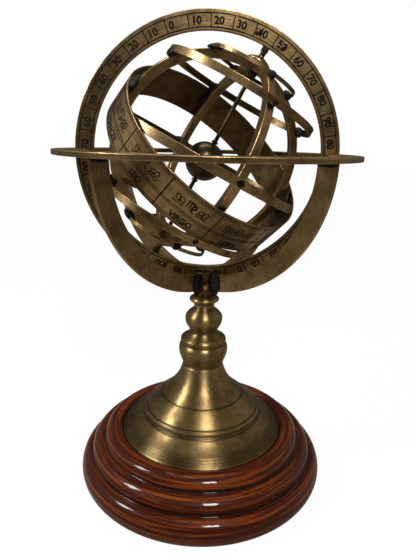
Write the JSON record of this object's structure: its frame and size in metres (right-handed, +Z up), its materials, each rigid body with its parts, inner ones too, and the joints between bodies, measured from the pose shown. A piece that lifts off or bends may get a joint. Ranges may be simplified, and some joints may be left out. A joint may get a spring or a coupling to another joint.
{
  "type": "armillary sphere",
  "caption": "Skeleton celestial sphere of brass bands turning on a tilted axis in a meridian ring, cradled by a horizon ring, arms and a turned stem on a round wooden base.",
  "frame": {"origin": "centre of the round base's underside, on the surface it stands on", "axes": "+Z up the stem; the meridian ring stands in the XZ plane with the north pole towards +X; the front looks along -Y"},
  "size_m": [0.2184, 0.2184, 0.3539],
  "materials": {
    "antique_brass": "brushed satin, aged",
    "dark_brass": "satin, darkened by age",
    "steel": "plain turned",
    "lacquered_wood": "gloss red-brown lacquer",
    "green_felt": "felt"
  },
  "bodies": {
    "stand": {"wooden_base": "lacquered_wood", "felt_pad": "green_felt", "tie_rod": "steel", "tie_washer": "steel", "tie_nut": "steel", "brass_foot": "antique_brass", "lower_baluster": "antique_brass", "upper_baluster": "antique_brass", "collar": "antique_brass", "fork_post": "antique_brass", "arm_front_right": "antique_brass", "arm_front_left": "antique_brass", "arm_back_right": "antique_brass", "arm_back_left": "antique_brass", "horizon_ring": "antique_brass"},
    "meridian": {"meridian_ring": "antique_brass", "pole_bracket_north": "dark_brass", "pole_bracket_south": "dark_brass", "rivet_north_1": "dark_brass", "rivet_north_2": "dark_brass", "rivet_south_1": "dark_brass", "rivet_south_2": "dark_brass"},
    "sphere": {"hour_cap_north": "antique_brass", "hour_cap_south": "antique_brass", "colure_equinox": "antique_brass", "colure_solstice": "antique_brass", "arctic_ring": "antique_brass", "cancer_ring": "antique_brass", "equator_ring": "antique_brass", "capricorn_ring": "antique_brass", "antarctic_ring": "antique_brass", "zodiac_band": "antique_brass", "axis_rod": "dark_brass", "pole_nut_north": "dark_brass", "pole_nut_south": "dark_brass", "pin_collar_north": "dark_brass", "pin_collar_south": "dark_brass", "earth_globe": "dark_brass", "earth_collar_upper": "dark_brass", "earth_collar_lower": "dark_brass"}
  },
  "joints": [
    {"name": "meridian_turn", "type": "hinge", "parent": "stand", "child": "meridian", "pos_m": [0, 0, 0.2579], "axis": [0, 1, 0], "range_deg": [-12, 45]},
    {"name": "sphere_spin", "type": "hinge", "parent": "meridian", "child": "sphere", "pos_m": [0, 0, 0.2579], "axis": [0.4664, 0, 0.8846], "continuous": true}
  ]
}
